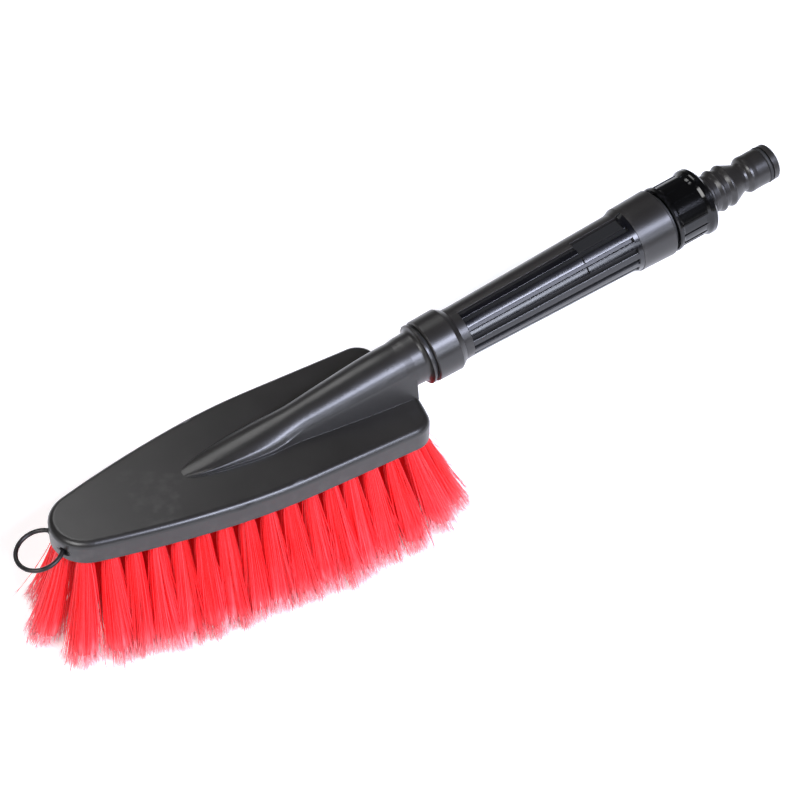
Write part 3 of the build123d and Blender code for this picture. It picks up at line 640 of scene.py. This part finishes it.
def make_mesh(name, blocks):
    """One smooth mesh from (points, polygons, colours) blocks."""
    verts, faces, tones, base = [], [], [], 0
    for points, polygons, colours in blocks:
        verts.append(points)
        faces.extend([[base + i for i in polygon] for polygon in polygons])
        tones.append(colours)
        base += len(points)
    mesh = bpy.data.meshes.new(name)
    mesh.from_pydata(np.concatenate(verts).tolist(), [], faces)
    layer = mesh.color_attributes.new("strand", "FLOAT_COLOR", "POINT")
    layer.data.foreach_set("color", np.concatenate(tones).astype(np.float32).ravel())
    mesh.polygons.foreach_set("use_smooth", [True] * len(mesh.polygons))
    mesh.update()
    work = bmesh.new()
    work.from_mesh(mesh)
    bmesh.ops.recalc_face_normals(work, faces=work.faces)
    work.to_mesh(mesh)
    work.free()
    piece = bpy.data.objects.new(name, mesh)
    scene.collection.objects.link(piece)
    return piece


def brush_tufts():
    draw = np.random.default_rng(SEED)
    subparts = frame["record"]["subparts"]
    for name in [part["node"] for part in subparts if part["material_slot"] == "bristle_red"]:
        blocks = []
        for root, tip, radius in tuft_places(frame["nodes"][name]):
            strands = tuft_strands(root, tip, radius, draw)
            blocks.append(tubes(*strands))
            blocks.append(tubes(*flags(*strands, draw)))
            blocks.append(core(root, tip, radius, draw))
        piece = make_mesh("strands_" + name, blocks)
        piece.data.materials.append(MATERIALS["bristle_red"])
        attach(piece, "brush")
        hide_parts(name)


brush_tufts()

# ---------------------------------------------------------------- floor and light


FLOOR_HALF = 4.0
FLOOR_GAP = 0.0001          # the floor lies this much below the bristles' ends
FLOOR_TONE = 0.93
FLOOR_GLOW = 0.32           # keeps the shadows on it pale
LIGHT_AIM = Vector((0.06, 0.0, 0.06))
# name, direction, distance, size, power, colour
LIGHTS = [
    ("key", (0.14, -0.70, 0.74), 1.3, (0.62, 0.34), 23.0, (0.76, 0.80, 1.0)),
    ("low", (0.20, -0.92, 0.40), 1.4, (0.5, 0.22), 5.0, (0.80, 0.85, 1.0)),
    ("fill", (-0.9, -0.3, 0.9), 1.7, (0.8, 0.8), 20.0, (1.0, 1.0, 1.0)),
    ("back", (0.0, 0.62, 0.78), 1.3, (0.35, 0.6), 3.0, (1.0, 1.0, 1.0)),
]
# (height in the sky, colour), and the strength of it all
SKY = [(0.0, (0.9, 0.9, 0.9)), (0.12, (0.11, 0.11, 0.12)), (0.5, (0.05, 0.05, 0.055))]
SKY_STRENGTH = 0.9


def make_floor():
    mesh = bpy.data.meshes.new("floor")
    corners = [(x * FLOOR_HALF, y * FLOOR_HALF, 0) for x, y in ((-1, -1), (1, -1), (1, 1), (-1, 1))]
    mesh.from_pydata(corners, [], [(0, 1, 2, 3)])
    floor = bpy.data.objects.new("floor", mesh)
    floor.location.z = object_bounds()[0].z - FLOOR_GAP
    scene.collection.objects.link(floor)
    material = bpy.data.materials.new("floor")
    material.use_nodes = True
    shader = material.node_tree.nodes["Principled BSDF"]
    shader.inputs["Base Color"].default_value = (*grey_of(FLOOR_TONE), 1.0)
    shader.inputs["Roughness"].default_value = 0.9
    shader.inputs["Specular IOR Level"].default_value = 0.1
    shader.inputs["Emission Color"].default_value = (1.0, 1.0, 1.0, 1.0)
    shader.inputs["Emission Strength"].default_value = FLOOR_GLOW
    mesh.materials.append(material)


def area_light(name, direction, distance, size, power, colour):
    data = bpy.data.lights.new(name, "AREA")
    data.shape = "RECTANGLE"
    data.size, data.size_y = size
    data.energy = power
    data.color = colour
    light = bpy.data.objects.new(name, data)
    scene.collection.objects.link(light)
    way = Vector(direction).normalized()
    light.location = LIGHT_AIM + way * distance
    light.rotation_mode = "QUATERNION"
    light.rotation_quaternion = way.to_track_quat("Z", "Y")


def make_world():
    world = bpy.data.worlds.new("studio")
    scene.world = world
    world.use_nodes = True
    tree = world.node_tree
    place = tree.nodes.new("ShaderNodeTexCoord")
    parts = tree.nodes.new("ShaderNodeSeparateXYZ")
    ramp = tree.nodes.new("ShaderNodeValToRGB")
    tree.links.new(place.outputs["Generated"], parts.inputs["Vector"])
    tree.links.new(parts.outputs["Z"], ramp.inputs["Fac"])
    elements = ramp.color_ramp.elements
    while len(elements) < len(SKY):
        elements.new(0.5)
    for element, (height, colour) in zip(elements, SKY):
        element.position = height
        element.color = (*colour, 1.0)
    tree.links.new(ramp.outputs["Color"], tree.nodes["Background"].inputs["Color"])
    tree.nodes["Background"].inputs["Strength"].default_value = SKY_STRENGTH


make_floor()
for row in LIGHTS:
    area_light(*row)
make_world()
scene.view_settings.view_transform = "Standard"
